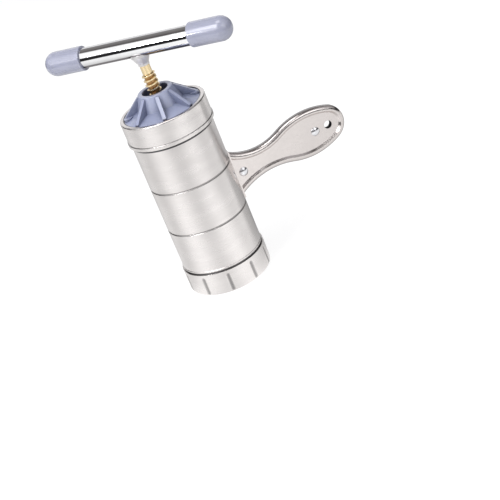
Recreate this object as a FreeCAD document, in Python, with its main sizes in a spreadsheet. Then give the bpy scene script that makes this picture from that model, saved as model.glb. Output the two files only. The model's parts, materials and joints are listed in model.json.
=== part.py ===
import FreeCAD, Part
import math
import os
import re

import Sketcher

# Hand-cranked noodle press, in millimetres. +Z runs up the barrel, and the origin is the centre
# of the foot ring's lower face. +X points to the right when the press is seen from the front.

SIZES = [
    ("barrel_radius", 35.0, "outside of the barrel"),
    ("barrel_wall", 1.2, "barrel sheet with its rolled threads"),
    ("barrel_length", 153.45, "from the die plate to the cover's flange"),
    ("groove_rise", 38.9, "from the foot ring to the lower groove"),
    ("groove_spacing", 39.5, "between the two grooves"),
    ("groove_depth", 0.55, "rolled decorative grooves"),
    ("groove_width", 1.7, "mouth of a groove"),
    ("barrel_bead_proud", 0.35, "bead just above the foot ring"),
    ("barrel_bead_height", 1.6, "height of that bead"),
    ("barrel_bead_gap", 1.4, "from the foot ring to that bead"),
    ("seat_gap", 0.05, "between stacked flat faces of different bodies"),
    ("thread_gap", 0.15, "between the barrel and the screwed rings"),
    ("slide_gap", 0.3, "between the piston or cover skirt and the barrel"),
    ("seal_gap", 0.15, "between the piston seal and the barrel"),
    ("foot_ring_height", 20.5, "foot ring"),
    ("foot_ring_proud", 1.2, "foot ring beyond the barrel"),
    ("foot_lip_thickness", 1.4, "inward lip under the die plate"),
    ("foot_lip_width", 5.15, "lip inwards from the ring's bore"),
    ("foot_edge_round", 2.6, "outer lower edge"),
    ("flute_count", 10, "grip flutes"),
    ("flute_radius", 3.5, "section of a flute"),
    ("flute_depth", 0.7, "into the ring"),
    ("flute_band", 4.4, "from the ring's top to the flute's shoulder"),
    ("flute_start", -93.7, "direction of the first flute in degrees"),
    ("die_thickness", 2.0, "die plate"),
    ("die_hole_radius", 1.8, "noodle holes"),
    ("die_margin", 4.4, "from the outlet's edge to the outer ring of holes"),
    ("head_ring_height", 21.0, "head ring"),
    ("head_ring_proud", 1.5, "head ring beyond the barrel"),
    ("head_lip_thickness", 1.2, "inward lip over the cover"),
    ("head_lip_width", 1.75, "lip inwards from the ring's bore"),
    ("head_rim_round", 1.0, "outer upper edge"),
    ("head_bead_proud", 0.6, "bead at the lower edge"),
    ("head_bead_height", 3.1, "height of that bead"),
    ("head_bead_round", 0.45, "edges of that bead"),
    ("cover_flange", 3.0, "flange held under the lip"),
    ("cover_edge_drop", 0.7, "cover floor below the rim at its edge"),
    ("cover_lip_gap", 0.3, "between the cover floor and the lip"),
    ("cover_floor", 3.0, "thickness of the floor"),
    ("skirt_depth", 7.45, "skirt inside the barrel"),
    ("skirt_wall", 2.2, "skirt wall"),
    ("boss_rise", 15.85, "boss above the rim"),
    ("boss_bore", 10.85, "recess in the boss"),
    ("boss_wall", 3.9, "boss at its top"),
    ("boss_spread", 4.75, "boss wider at its foot than at its top"),
    ("boss_foot_rise", 3.5, "foot of the boss above the rim"),
    ("boss_round", 0.9, "edges of the boss top"),
    ("hub_margin", 3.8, "hub under the floor beyond the nut's flange"),
    ("rib_count", 8, "ribs on the cover"),
    ("rib_thickness", 3.0, "rib"),
    ("rib_start", -92.0, "direction of the first rib in degrees"),
    ("rib_end_gap", 0.5, "from a rib's outer end to the cover's edge"),
    ("rib_sink", 1.0, "foot of ribs and pads inside the floor"),
    ("rib_end_rise", 1.6, "rib above the cover's edge at its outer end"),
    ("rib_shoulder", 1.2, "rib below the boss top at its inner end"),
    ("pad_radius", 3.8, "round pads near the edge"),
    ("pad_inset", 4.8, "pad centres from the cover's edge"),
    ("pad_rise", 3.0, "pad above the cover's edge"),
    ("pad_turn_left", -85.0, "left pad from the first rib in degrees"),
    ("pad_turn_right", 89.0, "right pad from the first rib in degrees"),
    ("nut_flats", 17.0, "across the flats of the lead nut"),
    ("nut_height", 14.0, "lead nut above its flange"),
    ("nut_flange_width", 5.5, "flange beyond the nut's flats"),
    ("nut_flange", 4.0, "flange thickness"),
    ("nut_head_gap", 1.5, "between the nut and the lowered collar"),
    ("nut_screw_count", 3, "screws that hold the nut's flange"),
    ("nut_screw_edge", 2.4, "from their centres to the flange's edge"),
    ("nut_screw_radius", 1.25, "their shanks"),
    ("nut_screw_head", 2.2, "their heads"),
    ("nut_screw_head_height", 1.6, "their heads"),
    ("nut_screw_bite", 6.0, "their depth in the hub"),
    ("nut_screw_slot", 0.6, "width of the slot in their heads"),
    ("nut_screw_slot_depth", 0.7, "depth of that slot"),
    ("pocket_gap", 0.05, "round pieces held in their seats"),
    ("overcut", 1.0, "cutting solids beyond the faces that they cut"),
    ("thread_pitch", 4.0, "lead of the screw"),
    ("thread_crest", 5.75, "outer radius of the thread"),
    ("thread_root", 4.3, "core radius of the screw"),
    ("flank_gap", 0.25, "between screw and nut threads"),
    ("ridge_sink", 0.25, "foot of the thread inside its core"),
    ("screw_lap", 0.5, "lengths of the screw sunk into one another"),
    ("screw_out", 22.5, "screw showing between boss and collar"),
    ("neck_length", 8.0, "plain neck under the collar"),
    ("neck_relief", 0.1, "neck under the thread's core"),
    ("stud_step", 0.3, "stud through the collar, thinner than the neck"),
    ("stud_cover", 2.0, "from the stud's end to the crank tube's bore"),
    ("shoulder_radius", 5.6, "plain shoulder over the piston"),
    ("shoulder_length", 3.0, "its length"),
    ("journal_radius", 4.0, "journal that turns in the piston"),
    ("journal_gap", 0.08, "between journal and piston bore"),
    ("end_play", 0.3, "along the screw at the piston"),
    ("collar_neck", 7.6, "collar's foot to the crank tube"),
    ("collar_foot_radius", 4.7, "collar at its foot"),
    ("collar_waist_rise", 1.6, "straight part of the foot"),
    ("collar_mouth_inset", 0.2, "collar's mouth inside the tube's width"),
    ("collar_mouth_lap", 0.6, "end of the flare above the tube's underside"),
    ("collar_saddle_lap", 3.0, "top of the saddle above the tube's underside"),
    ("tube_radius", 8.25, "crank tube"),
    ("tube_wall", 1.0, "crank tube"),
    ("tube_end_gap", 1.0, "crank tube's ends short of the plastic ends' round part"),
    ("crank_span", 171.0, "over both caps"),
    ("crank_azimuth", -30.0, "crank's direction in the photographed pose"),
    ("cap_wall", 1.8, "plastic ends"),
    ("cap_sleeve", 25.6, "straight part of a plastic end"),
    ("cap_lip", 0.7, "rounded edge at its mouth"),
    ("cap_flat", 0.15, "flat at the middle of its round end"),
    ("cross_nut_length", 15.0, "cross nut inside the crank tube"),
    ("cross_nut_gap", 0.2, "between cross nut and tube bore"),
    ("stop_gap", 0.5, "crank tube above the boss at the lower stop"),
    ("piston_floor_gap", 2.05, "piston above the die at the lower stop"),
    ("piston_height", 12.0, "piston"),
    ("piston_web", 6.0, "piston hub above its counterbore"),
    ("washer_room", 1.0, "round the end washer in its recess"),
    ("piston_hub_wall", 2.0, "hub on the piston's upper side, beyond that recess"),
    ("piston_dish", 5.0, "depth of the dish round the hub"),
    ("piston_rim", 6.5, "width of the piston's rim"),
    ("seal_height", 4.0, "piston seal"),
    ("seal_depth", 2.4, "seal groove"),
    ("seal_rise", 3.0, "seal above the piston's face"),
    ("washer_thickness", 1.5, "both washers"),
    ("washer_radius", 8.0, "both washers"),
    ("piston_screw_radius", 2.0, "shank of the piston screw"),
    ("piston_screw_length", 10.0, "shank of the piston screw"),
    ("piston_screw_room", 1.0, "hole beyond the end of that shank"),
    ("piston_screw_head", 3.9, "head radius"),
    ("piston_screw_head_height", 2.4, "head height"),
    ("piston_screw_head_round", 1.3, "edge of the head"),
    ("handle_azimuth", 13.0, "direction of the side handle"),
    ("handle_height", 81.6, "handle's centre line above the base"),
    ("handle_thickness", 9.0, "over both shells"),
    ("handle_sheet", 1.0, "shell wall"),
    ("slope_sheet", 0.8, "shell wall measured across the panel's slope"),
    ("handle_round", 3.5, "outer edges of the shells"),
    ("handle_length", 106.3, "handle tip from the barrel's surface"),
    ("tip_radius", 16.4, "round end of the handle"),
    ("tip_rise", 0.2, "centre of the round end above the centre line"),
    ("paddle_out", 72.0, "widest place from the barrel's surface"),
    ("paddle_half", 20.3, "half width there"),
    ("waist_out_upper", 27.0, "narrowest place of the upper edge"),
    ("waist_half_upper", 10.4, "upper edge there"),
    ("waist_out_lower", 31.5, "narrowest place of the lower edge"),
    ("waist_half_lower", 13.2, "lower edge there"),
    ("panel_border", 4.2, "raised border round the sunk panel"),
    ("panel_slope", 1.8, "width of the slope into the panel"),
    ("panel_depth", 1.8, "panel below the border"),
    ("shell_seam", 0.04, "between the two shells"),
    ("hang_hole_radius", 3.5, "hanging hole"),
    ("hang_hole_out", 90.6, "hanging hole from the barrel's surface"),
    ("hang_hole_drop", 0.2, "hanging hole below the centre line"),
    ("tip_rivet_out", 78.1, "tip rivet from the barrel's surface"),
    ("tip_rivet_drop", 0.7, "tip rivet below the centre line"),
    ("tip_rivet_radius", 2.0, "tip rivet shank"),
    ("tip_rivet_head", 3.9, "tip rivet head"),
    ("root_rivet_out", 7.5, "root rivet from the barrel's surface"),
    ("root_rivet_drop", 3.1, "root rivet below the centre line"),
    ("root_rivet_radius", 2.0, "root rivet shank"),
    ("root_rivet_head", 4.0, "root rivet head"),
    ("rivet_dome", 1.5, "height of the rivet heads"),
    ("bracket_sheet", 1.25, "bracket plate"),
    ("bracket_half", 8.0, "half width of the bracket plate"),
    ("bracket_margin", 1.5, "plate beyond the handle root"),
    ("tongue_out", 18.0, "end of the bracket tongue from the barrel's surface"),
    ("tongue_half", 5.8, "half height of the tongue"),
]

# Places worked out from the sizes above, from the base upwards and then for single pieces.
PLACES = [
    ("bore_radius", "barrel_radius - barrel_wall"),
    ("ring_bore", "barrel_radius + thread_gap"),
    ("foot_ring_radius", "barrel_radius + foot_ring_proud"),
    ("head_ring_radius", "barrel_radius + head_ring_proud"),
    ("head_bead_radius", "head_ring_radius + head_bead_proud"),
    ("foot_lip_bore", "ring_bore - foot_lip_width"),
    ("head_lip_bore", "ring_bore - head_lip_width"),
    ("die_radius", "barrel_radius - seat_gap"),
    ("die_hole_pitch", "(foot_lip_bore - die_margin) / 4"),
    ("die_bottom", "foot_lip_thickness + seat_gap"),
    ("die_top", "die_bottom + die_thickness"),
    ("barrel_foot", "die_top + seat_gap"),
    ("barrel_top", "barrel_foot + barrel_length"),
    ("flange_bottom", "barrel_top + seat_gap"),
    ("flange_top", "flange_bottom + cover_flange"),
    ("lip_bottom", "flange_top + seat_gap"),
    ("rim_top", "lip_bottom + head_lip_thickness"),
    ("head_ring_foot", "rim_top - head_ring_height"),
    ("groove_low", "foot_ring_height + groove_rise"),
    ("groove_high", "groove_low + groove_spacing"),
    ("half_groove", "groove_width / 2"),
    ("groove_flat", "groove_width / 5"),
    ("groove_floor", "barrel_radius - groove_depth"),
    ("bead_bottom", "foot_ring_height + barrel_bead_gap"),
    ("bead_top", "bead_bottom + barrel_bead_height"),
    ("bead_crown", "barrel_radius + barrel_bead_proud"),
    ("cover_edge", "rim_top - cover_edge_drop"),
    ("cover_edge_radius", "head_lip_bore - cover_lip_gap"),
    ("flange_radius", "barrel_radius - seat_gap"),
    ("skirt_radius", "bore_radius - slide_gap"),
    ("skirt_inner", "skirt_radius - skirt_wall"),
    ("skirt_bottom", "flange_bottom - skirt_depth"),
    ("boss_radius", "boss_bore + boss_wall"),
    ("boss_foot_radius", "boss_radius + boss_spread"),
    ("boss_top", "rim_top + boss_rise"),
    ("boss_foot", "rim_top + boss_foot_rise"),
    ("rib_top", "boss_top - rib_shoulder"),
    ("rib_end", "cover_edge + rib_end_rise"),
    ("pad_top", "cover_edge + pad_rise"),
    ("pad_circle", "cover_edge_radius - pad_inset"),
    ("pad_foot", "cover_edge - rib_sink"),
    ("pad_height", "pad_top - pad_foot"),
    ("pad_across_left", "pad_circle * cos(pad_turn_left * 1deg)"),
    ("pad_along_left", "pad_circle * sin(pad_turn_left * 1deg)"),
    ("pad_across_right", "pad_circle * cos(pad_turn_right * 1deg)"),
    ("pad_along_right", "pad_circle * sin(pad_turn_right * 1deg)"),
    ("rib_inner", "boss_bore + boss_round"),
    ("rib_reach", "cover_edge_radius - rib_end_gap"),
    ("rib_root", "boss_foot - rib_sink"),
    ("rib_sole", "cover_edge - rib_sink"),
    ("collar_foot", "boss_top + screw_out"),
    ("collar_rise", "collar_neck + tube_radius"),
    ("crank_height", "collar_foot + collar_rise"),
    ("collar_mouth_radius", "tube_radius - collar_mouth_inset"),
    ("collar_mouth_rise", "collar_neck + collar_mouth_lap"),
    ("collar_wrap", "collar_neck + collar_saddle_lap"),
    ("travel_down", "screw_out + collar_rise - tube_radius - stop_gap"),
    ("nut_top", "collar_foot - travel_down - nut_head_gap"),
    ("flange_seat", "nut_top - nut_height"),
    ("nut_bottom", "flange_seat - nut_flange"),
    ("hub_bottom", "flange_seat + seat_gap"),
    ("half_flats", "nut_flats / 2"),
    ("hex_corner", "nut_flats / sqrt(3)"),
    ("half_corner", "hex_corner / 2"),
    ("nut_flange_radius", "half_flats + nut_flange_width"),
    ("hub_radius", "nut_flange_radius + hub_margin"),
    ("nut_screw_circle", "nut_flange_radius - nut_screw_edge"),
    ("nut_screw_hole", "nut_screw_radius + pocket_gap"),
    ("ridge_foot", "thread_pitch * 0.65"),
    ("ridge_top", "thread_pitch * 0.275"),
    ("neck_radius", "thread_root - neck_relief"),
    ("stud_radius", "neck_radius - stud_step"),
    ("nut_screw_top", "hub_bottom + nut_screw_bite"),
    ("piston_bottom", "die_top + travel_down + piston_floor_gap"),
    ("piston_top", "piston_bottom + piston_height"),
    ("piston_radius", "bore_radius - slide_gap"),
    ("counterbore_top", "piston_top - piston_web"),
    ("piston_counterbore", "washer_radius + washer_room"),
    ("piston_hub", "piston_counterbore + piston_hub_wall"),
    ("journal_bore", "journal_radius + journal_gap"),
    ("shoulder_bottom", "piston_top + washer_thickness + end_play"),
    ("shoulder_top", "shoulder_bottom + shoulder_length"),
    ("neck_bottom", "collar_foot - neck_length"),
    ("journal_end", "counterbore_top - end_play"),
    ("end_washer_bottom", "journal_end - washer_thickness"),
    ("screw_head_bottom", "end_washer_bottom - piston_screw_head_height"),
    ("piston_screw_top", "end_washer_bottom + piston_screw_length"),
    ("seal_bottom", "piston_bottom + seal_rise"),
    ("seal_top", "seal_bottom + seal_height"),
    ("seal_groove", "piston_radius - seal_depth"),
    ("seal_radius", "bore_radius - seal_gap"),
    ("tube_bore", "tube_radius - tube_wall"),
    ("stud_top", "tube_bore - stud_cover"),
    ("cap_bore", "tube_radius + pocket_gap"),
    ("cap_radius", "cap_bore + cap_wall"),
    ("cap_centre", "crank_span / 2 - cap_radius"),
    ("cap_mouth", "cap_centre - cap_sleeve"),
    ("cap_end", "crank_span / 2"),
    ("stud_hole", "stud_radius + pocket_gap"),
    ("cross_nut_radius", "tube_bore - cross_nut_gap"),
    ("half_cross_nut", "cross_nut_length / 2"),
    ("shell_height", "(handle_thickness - shell_seam) / 2"),
    ("panel_top", "shell_height - panel_depth"),
    ("panel_underside", "panel_top - handle_sheet"),
    ("bracket_bore", "barrel_radius + pocket_gap"),
    ("bracket_radius", "bracket_bore + bracket_sheet"),
    ("root_radius", "bracket_radius + pocket_gap"),
    ("handle_reach", "barrel_radius + handle_length"),
    ("paddle_reach", "barrel_radius + paddle_out"),
    ("waist_reach_upper", "barrel_radius + waist_out_upper"),
    ("waist_reach_lower", "barrel_radius + waist_out_lower"),
    ("hang_hole_reach", "barrel_radius + hang_hole_out"),
    ("tip_rivet_reach", "barrel_radius + tip_rivet_out"),
    ("root_rivet_reach", "barrel_radius + root_rivet_out"),
    ("tongue_reach", "barrel_radius + tongue_out"),
]

UP = FreeCAD.Vector(0, 0, 1)
CENTRE = FreeCAD.Vector(0, 0, 0)

doc = FreeCAD.newDocument("noodle_press")
sheet = doc.addObject("Spreadsheet::Sheet", "sizes")
subparts = []


def fill_sheet():
    """Writes the driving sizes as plain numbers and the worked-out places as formulas."""
    row = 0
    for name, number, meaning in SIZES:
        row += 1
        sheet.set(f"A{row}", meaning)
        sheet.set(f"B{row}", str(number))
        sheet.setAlias(f"B{row}", name)
    for name, formula in PLACES:
        row += 1
        sheet.set(f"A{row}", "worked out")
        sheet.set(f"B{row}", "=" + formula)
        sheet.setAlias(f"B{row}", name)
    doc.recompute()


NAMES = {entry[0] for entry in SIZES + PLACES}


def size(name):
    """The number that one cell of the sheet holds."""
    return float(sheet.get(name))


def total(text):
    """The value of a sum of cell names and numbers, such as 'rim_top - seat_gap'."""
    result = 0.0
    sign = 1
    for word in text.split():
        if word in ("+", "-"):
            sign = 1 if word == "+" else -1
            continue
        result += sign * (size(word) if word in NAMES else float(word))
    return result


def bound(text):
    """The same sum as an expression that reads the sheet."""
    return re.sub(r"[a-z]\w*", lambda word: "sizes." + word[0] if word[0] in NAMES else word[0], text)


def tie(item, prop, text):
    item.setExpression(prop, bound(text))


def keep(item, label):
    """Takes an object as a finished sub-part under its own label."""
    item.Label = label
    subparts.append(item)
    return item


def new_body(name):
    return doc.addObject("PartDesign::Body", name + "_body")


def sketch_on(body, plane, name):
    sketch = body.newObject("Sketcher::SketchObject", name)
    origin_plane = [item for item in body.Origin.OriginFeatures if item.Role == plane][0]
    sketch.AttachmentSupport = [(origin_plane, "")]
    sketch.MapMode = "FlatFace"
    return sketch


def hold_point(sketch, item, end, across, upwards):
    """Ties one point of a line or circle to the sheet, measured from the sketch's origin."""
    for kind, text, axis in (("DistanceX", across, -2), ("DistanceY", upwards, -1)):
        if total(text) == 0:
            sketch.addConstraint(Sketcher.Constraint("PointOnObject", item, end, axis))
            continue
        index = sketch.addConstraint(Sketcher.Constraint(kind, -1, 1, item, end, total(text)))
        sketch.setExpression(f"Constraints[{index}]", bound(text))


def outline(body, name, corners, plane="XZ_Plane"):
    """A closed sketch of straight lines through corners that the sheet drives."""
    sketch = sketch_on(body, plane, name)
    points = [FreeCAD.Vector(total(across), total(upwards), 0) for across, upwards in corners]
    count = len(points)
    for index in range(count):
        sketch.addGeometry(Part.LineSegment(points[index], points[(index + 1) % count]), False)
    for index in range(count):
        sketch.addConstraint(Sketcher.Constraint("Coincident", index, 2, (index + 1) % count, 1))
    for index, (across, upwards) in enumerate(corners):
        hold_point(sketch, index, 1, across, upwards)
    return sketch


def disc(body, name, radius, place=("0", "0"), height="0"):
    """A circle on a level plane, its centre at place."""
    sketch = sketch_on(body, "XY_Plane", name)
    tie(sketch, "AttachmentOffset.Base.z", height)
    centre = FreeCAD.Vector(total(place[0]), total(place[1]), 0)
    sketch.addGeometry(Part.Circle(centre, UP, total(radius)), False)
    index = sketch.addConstraint(Sketcher.Constraint("Radius", 0, total(radius)))
    sketch.setExpression(f"Constraints[{index}]", bound(radius))
    hold_point(sketch, 0, 3, *place)
    return sketch


def hexagon(body, name, gap, height):
    """The lead nut's outline, widened by gap, on a level plane."""
    flat = "half_flats + " + gap
    low_flat = "0 - half_flats - " + gap
    corners = [
        (flat, "half_corner"), ("0", "hex_corner + " + gap), (low_flat, "half_corner"),
        (low_flat, "0 - half_corner"), ("0", "0 - hex_corner - " + gap), (flat, "0 - half_corner"),
    ]
    sketch = outline(body, name, corners, "XY_Plane")
    tie(sketch, "AttachmentOffset.Base.z", height)
    return sketch


def turn_about_axis(item, angle):
    """Turns a sub-part about the barrel's axis by the angle in one cell."""
    item.Placement = FreeCAD.Placement(CENTRE, FreeCAD.Rotation(UP, size(angle)))


def spin(body, name, corners):
    """Turns an outline of radius and height pairs about the body's Z axis."""
    sketch = outline(body, name + "_outline", corners)
    turned = body.newObject("PartDesign::Revolution", name)
    turned.Profile = sketch
    turned.ReferenceAxis = (sketch, ["V_Axis"])
    turned.Angle = 360
    doc.recompute()
    return turned


def round_circles(body, base, name, radius, circles):
    """Rounds the circular edges of the given radius and height pairs."""
    wanted = [(total(across), total(upwards)) for across, upwards in circles]
    edges = []
    for index, edge in enumerate(base.Shape.Edges):
        if not isinstance(edge.Curve, Part.Circle):
            continue
        found = (edge.Curve.Radius, edge.Curve.Center.z)
        if any(math.dist(found, pair) < 1e-4 for pair in wanted):
            edges.append(f"Edge{index + 1}")
    rounded = body.newObject("PartDesign::Fillet", name)
    rounded.Base = (base, edges)
    tie(rounded, "Radius", radius)
    doc.recompute()
    return rounded


def polar(body, feature, name, count):
    """Repeats a feature round the body's Z axis."""
    pattern = body.newObject("PartDesign::PolarPattern", name)
    pattern.Originals = [feature]
    axis = [item for item in body.Origin.OriginFeatures if item.Role == "Z_Axis"][0]
    pattern.Axis = (axis, [""])
    pattern.Angle = 360
    if isinstance(count, str):
        tie(pattern, "Occurrences", count)
    else:
        pattern.Occurrences = count
    body.Tip = pattern
    doc.recompute()
    return pattern


def primitive(kind, name, place, turn=None, **dimensions):
    """A Part primitive whose dimensions and place are sums of cells."""
    solid = doc.addObject("Part::" + kind, name)
    for prop, text in dimensions.items():
        tie(solid, prop, text)
    solid.Placement = FreeCAD.Placement(CENTRE, turn or FreeCAD.Rotation())
    for letter, text in zip("xyz", place):
        tie(solid, f"Placement.Base.{letter}", text)
    return solid


def cut(name, base, tool):
    result = doc.addObject("Part::Cut", name)
    result.Base = base
    result.Tool = tool
    return result


def fuse(name, *pieces):
    result = doc.addObject("Part::MultiFuse", name)
    result.Shapes = list(pieces)
    return result


def shaped(name, shape, place=None):
    """A sub-part whose shape is made by functions that read the sheet."""
    feature = doc.addObject("Part::Feature", name + "_shape")
    feature.Shape = shape
    if place:
        feature.Placement = place.multiply(shape.Placement)
    return keep(feature, name)


# Barrel


def make_barrel():
    body = new_body("barrel_tube")
    corners = [("bore_radius", "barrel_foot"), ("barrel_radius", "barrel_foot")]
    corners += [
        ("barrel_radius", "bead_bottom"),
        ("bead_crown", "bead_bottom + barrel_bead_proud"),
        ("bead_crown", "bead_top - barrel_bead_proud"),
        ("barrel_radius", "bead_top"),
    ]
    for groove in ("groove_low", "groove_high"):
        corners += [
            ("barrel_radius", groove + " - half_groove"),
            ("groove_floor", groove + " - groove_flat"),
            ("groove_floor", groove + " + groove_flat"),
            ("barrel_radius", groove + " + half_groove"),
        ]
    corners += [("barrel_radius", "barrel_top"), ("bore_radius", "barrel_top")]
    spin(body, "barrel_wall_turned", corners)
    keep(body, "barrel_tube")


# Screwed rings


def make_head_ring():
    body = new_body("head_ring")
    ring = spin(body, "head_ring_turned", [
        ("ring_bore", "head_ring_foot"),
        ("head_bead_radius", "head_ring_foot"),
        ("head_bead_radius", "head_ring_foot + head_bead_height"),
        ("head_ring_radius", "head_ring_foot + head_bead_height"),
        ("head_ring_radius", "rim_top"),
        ("head_lip_bore", "rim_top"),
        ("head_lip_bore", "lip_bottom"),
        ("ring_bore", "lip_bottom"),
    ])
    rim = round_circles(body, ring, "rim_round", "head_rim_round", [("head_ring_radius", "rim_top")])
    bead = [
        ("head_bead_radius", "head_ring_foot"),
        ("head_bead_radius", "head_ring_foot + head_bead_height"),
    ]
    round_circles(body, rim, "bead_round", "head_bead_round", bead)
    keep(body, "head_ring")


def make_foot_ring():
    body = new_body("foot_ring")
    ring = spin(body, "foot_ring_turned", [
        ("foot_lip_bore", "0"),
        ("foot_ring_radius", "0"),
        ("foot_ring_radius", "foot_ring_height"),
        ("ring_bore", "foot_ring_height"),
        ("ring_bore", "foot_lip_thickness"),
        ("foot_lip_bore", "foot_lip_thickness"),
    ])
    round_circles(body, ring, "foot_round", "foot_edge_round", [("foot_ring_radius", "0")])
    flutes = []
    shoulder = "foot_ring_height - flute_band"
    reach = size("foot_ring_radius") + size("flute_radius") - size("flute_depth")
    for number in range(int(size("flute_count"))):
        angle = math.radians(size("flute_start") + number * 360 / size("flute_count"))
        place = (str(reach * math.cos(angle)), str(reach * math.sin(angle)))
        flutes.append(primitive("Cylinder", f"flute_{number}", place + ("0 - overcut",),
                                Radius="flute_radius", Height=shoulder + " + overcut"))
        flutes.append(primitive("Sphere", f"flute_end_{number}", place + (shoulder,),
                                Radius="flute_radius"))
    keep(cut("foot_ring_fluted", body, fuse("flutes", *flutes)), "foot_ring")


def make_die_plate():
    body = new_body("die_plate")
    plate = body.newObject("PartDesign::Pad", "die_disc")
    plate.Profile = disc(body, "die_disc_sketch", "die_radius")
    tie(plate, "Length", "die_thickness")
    doc.recompute()
    reaches = {0: 1, 1: 6, 2: 12, 3: 18, 4: 24}
    for ring, count in reaches.items():
        reach = " + ".join(["die_hole_pitch"] * ring) or "0"
        hole = body.newObject("PartDesign::Pocket", f"die_hole_{ring}")
        hole.Profile = disc(body, f"die_hole_sketch_{ring}", "die_hole_radius", (reach, "0"))
        hole.Type = "ThroughAll"
        hole.Reversed = True
        doc.recompute()
        if count > 1:
            polar(body, hole, f"die_holes_{ring}", count)
    tie(body, "Placement.Base.z", "die_bottom")
    keep(body, "die_plate")


# Cover and its nut


def make_cover():
    body = new_body("cover")
    shell = spin(body, "cover_shell", [
        ("boss_bore", "boss_top"),
        ("boss_radius", "boss_top"),
        ("boss_foot_radius", "boss_foot"),
        ("cover_edge_radius", "cover_edge"),
        ("cover_edge_radius", "flange_top"),
        ("flange_radius", "flange_top"),
        ("flange_radius", "flange_bottom"),
        ("skirt_radius", "flange_bottom"),
        ("skirt_radius", "skirt_bottom"),
        ("skirt_inner", "skirt_bottom"),
        ("skirt_inner", "cover_edge - cover_floor"),
        ("hub_radius", "boss_foot - cover_floor"),
        ("hub_radius", "hub_bottom"),
        ("thread_crest", "hub_bottom"),
        ("thread_crest", "nut_top"),
        ("boss_bore", "nut_top"),
    ])
    boss_edges = [("boss_bore", "boss_top"), ("boss_radius", "boss_top")]
    round_circles(body, shell, "boss_edges_round", "boss_round", boss_edges)
    rib = body.newObject("PartDesign::Pad", "cover_rib")
    rib.Profile = outline(body, "cover_rib_outline", [
        ("rib_inner", "rib_top"),
        ("boss_radius + rib_shoulder", "rib_top"),
        ("rib_reach", "rib_end"),
        ("rib_reach", "rib_sole"),
        ("boss_foot_radius", "rib_root"),
        ("rib_inner", "rib_root"),
    ])
    rib.SideType = "Symmetric"
    tie(rib, "Length", "rib_thickness")
    doc.recompute()
    polar(body, rib, "cover_ribs", "rib_count")
    for side in ("left", "right"):
        pad = body.newObject("PartDesign::Pad", "cover_pad_" + side)
        place = ("pad_across_" + side, "pad_along_" + side)
        pad.Profile = disc(body, "cover_pad_sketch_" + side, "pad_radius", place, "pad_foot")
        tie(pad, "Length", "pad_height")
        doc.recompute()
    seat = body.newObject("PartDesign::Pocket", "nut_seat")
    seat.Profile = hexagon(body, "nut_seat_sketch", "pocket_gap", "hub_bottom - overcut")
    seat.Reversed = True
    tie(seat, "Length", "nut_height + overcut")
    doc.recompute()
    hole = body.newObject("PartDesign::Pocket", "nut_screw_hole_cover")
    place = ("nut_screw_circle", "0")
    hole.Profile = disc(body, "nut_screw_sketch_cover", "nut_screw_hole", place, "hub_bottom")
    hole.Reversed = True
    tie(hole, "Length", "nut_screw_bite + pocket_gap")
    doc.recompute()
    polar(body, hole, "nut_screw_holes_cover", "nut_screw_count")
    turn_about_axis(body, "rib_start")
    keep(body, "cover")


def make_lead_nut():
    body = new_body("lead_nut")
    flange = body.newObject("PartDesign::Pad", "nut_flange_pad")
    flange.Profile = disc(body, "nut_flange_sketch", "nut_flange_radius", height="nut_bottom")
    tie(flange, "Length", "nut_flange")
    doc.recompute()
    block = body.newObject("PartDesign::Pad", "nut_block")
    block.Profile = hexagon(body, "nut_block_sketch", "0", "flange_seat")
    tie(block, "Length", "nut_height")
    doc.recompute()
    hole = body.newObject("PartDesign::Pocket", "nut_screw_hole_flange")
    place = ("nut_screw_circle", "0")
    hole.Profile = disc(body, "nut_screw_sketch_flange", "nut_screw_hole", place, "nut_bottom - overcut")
    hole.Reversed = True
    tie(hole, "Length", "nut_flange + overcut + overcut")
    doc.recompute()
    polar(body, hole, "nut_screw_holes_flange", "nut_screw_count")
    turn_about_axis(body, "rib_start")
    bore = doc.addObject("Part::Feature", "nut_thread_space")
    bore.Shape = threaded_rod(total("nut_bottom - overcut"), total("nut_top + overcut"), size("flank_gap"))
    keep(cut("lead_nut_threaded", body, bore), "lead_nut")


def make_nut_screws():
    screws = []
    head_bottom = size("nut_bottom") - size("nut_screw_head_height")
    count = int(size("nut_screw_count"))
    width = size("nut_screw_slot")
    depth = size("nut_screw_slot_depth")
    across = 2 * size("nut_screw_head") + size("overcut")
    for number in range(count):
        angle = math.radians(size("rib_start") + number * 360 / count)
        reach = size("nut_screw_circle")
        foot = FreeCAD.Vector(reach * math.cos(angle), reach * math.sin(angle), head_bottom)
        head = Part.makeCylinder(size("nut_screw_head"), size("nut_screw_head_height"), foot)
        shank = Part.makeCylinder(size("nut_screw_radius"), size("nut_screw_top") - head_bottom, foot)
        slot = Part.makeBox(across, width, 2 * depth, foot - FreeCAD.Vector(across / 2, width / 2, depth))
        screws.append(head.fuse(shank).cut(slot).removeSplitter())
    shaped("nut_screws", Part.makeCompound(screws))


# Screw


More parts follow.
